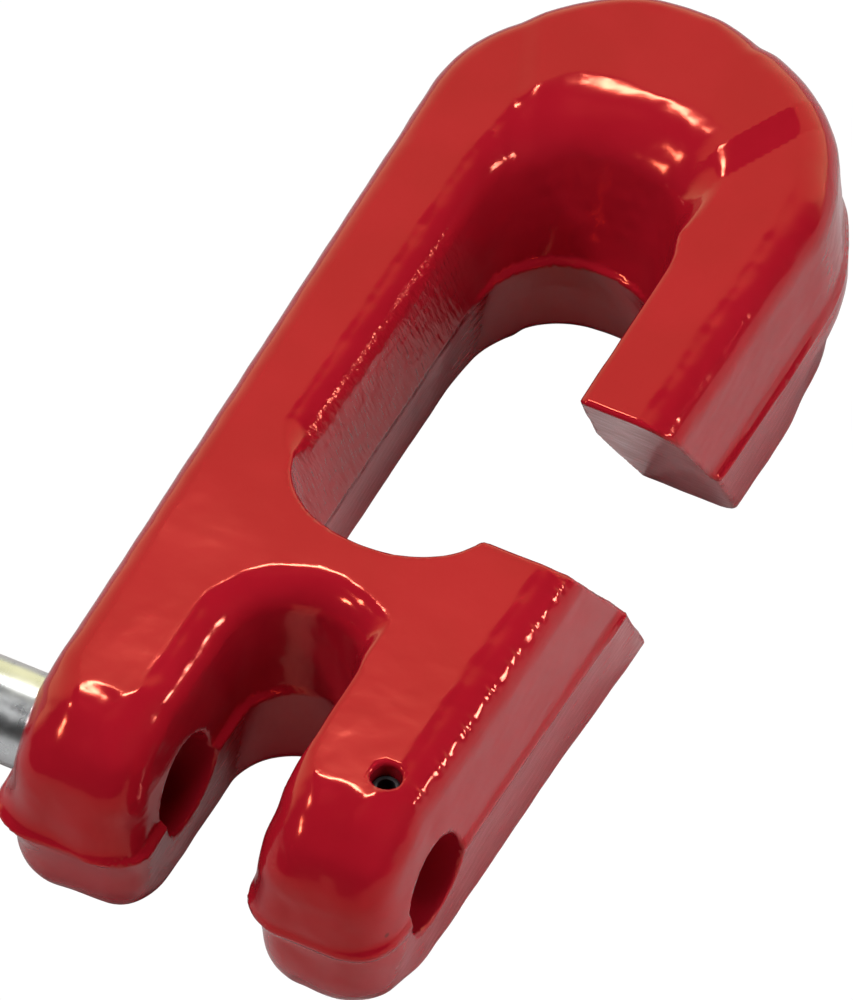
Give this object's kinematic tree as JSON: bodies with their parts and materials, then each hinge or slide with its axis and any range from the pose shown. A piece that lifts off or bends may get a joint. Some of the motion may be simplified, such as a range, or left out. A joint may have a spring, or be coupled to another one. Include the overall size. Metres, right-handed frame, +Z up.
{
  "type": "safety chain hook",
  "caption": "Forged clevis hook in glossy red paint, with a slanted mouth, a through-drilled clevis, a sliding load pin and a small spring pin that locks it.",
  "frame": {"origin": "on the underside, at the middle of the web between the clevis slot and the hook's seat", "axes": "+Y along the hook from the clevis to the crown, +X from the shank to the mouth's side and along the load pin, +Z up through the thickness"},
  "size_m": [0.1159, 0.1875, 0.0438],
  "materials": {
    "red_paint": "glossy red enamel over a forged surface",
    "zinc_plated_steel": "bright zinc plate on turned steel",
    "phosphated_steel": "dark phosphated spring steel"
  },
  "bodies": {
    "hook": {"hook_body": "red_paint"},
    "load_pin": {"load_pin": "zinc_plated_steel"},
    "locking_pin": {"locking_pin": "phosphated_steel"}
  },
  "joints": [
    {"name": "load_pin_slide", "type": "slide", "parent": "hook", "child": "load_pin", "axis": [1, 0, 0], "range_m": [-0.012, 0.0475]},
    {"name": "locking_pin_slide", "type": "slide", "parent": "hook", "child": "locking_pin", "axis": [0, 0, -1], "range_m": [0, 0.008]}
  ]
}
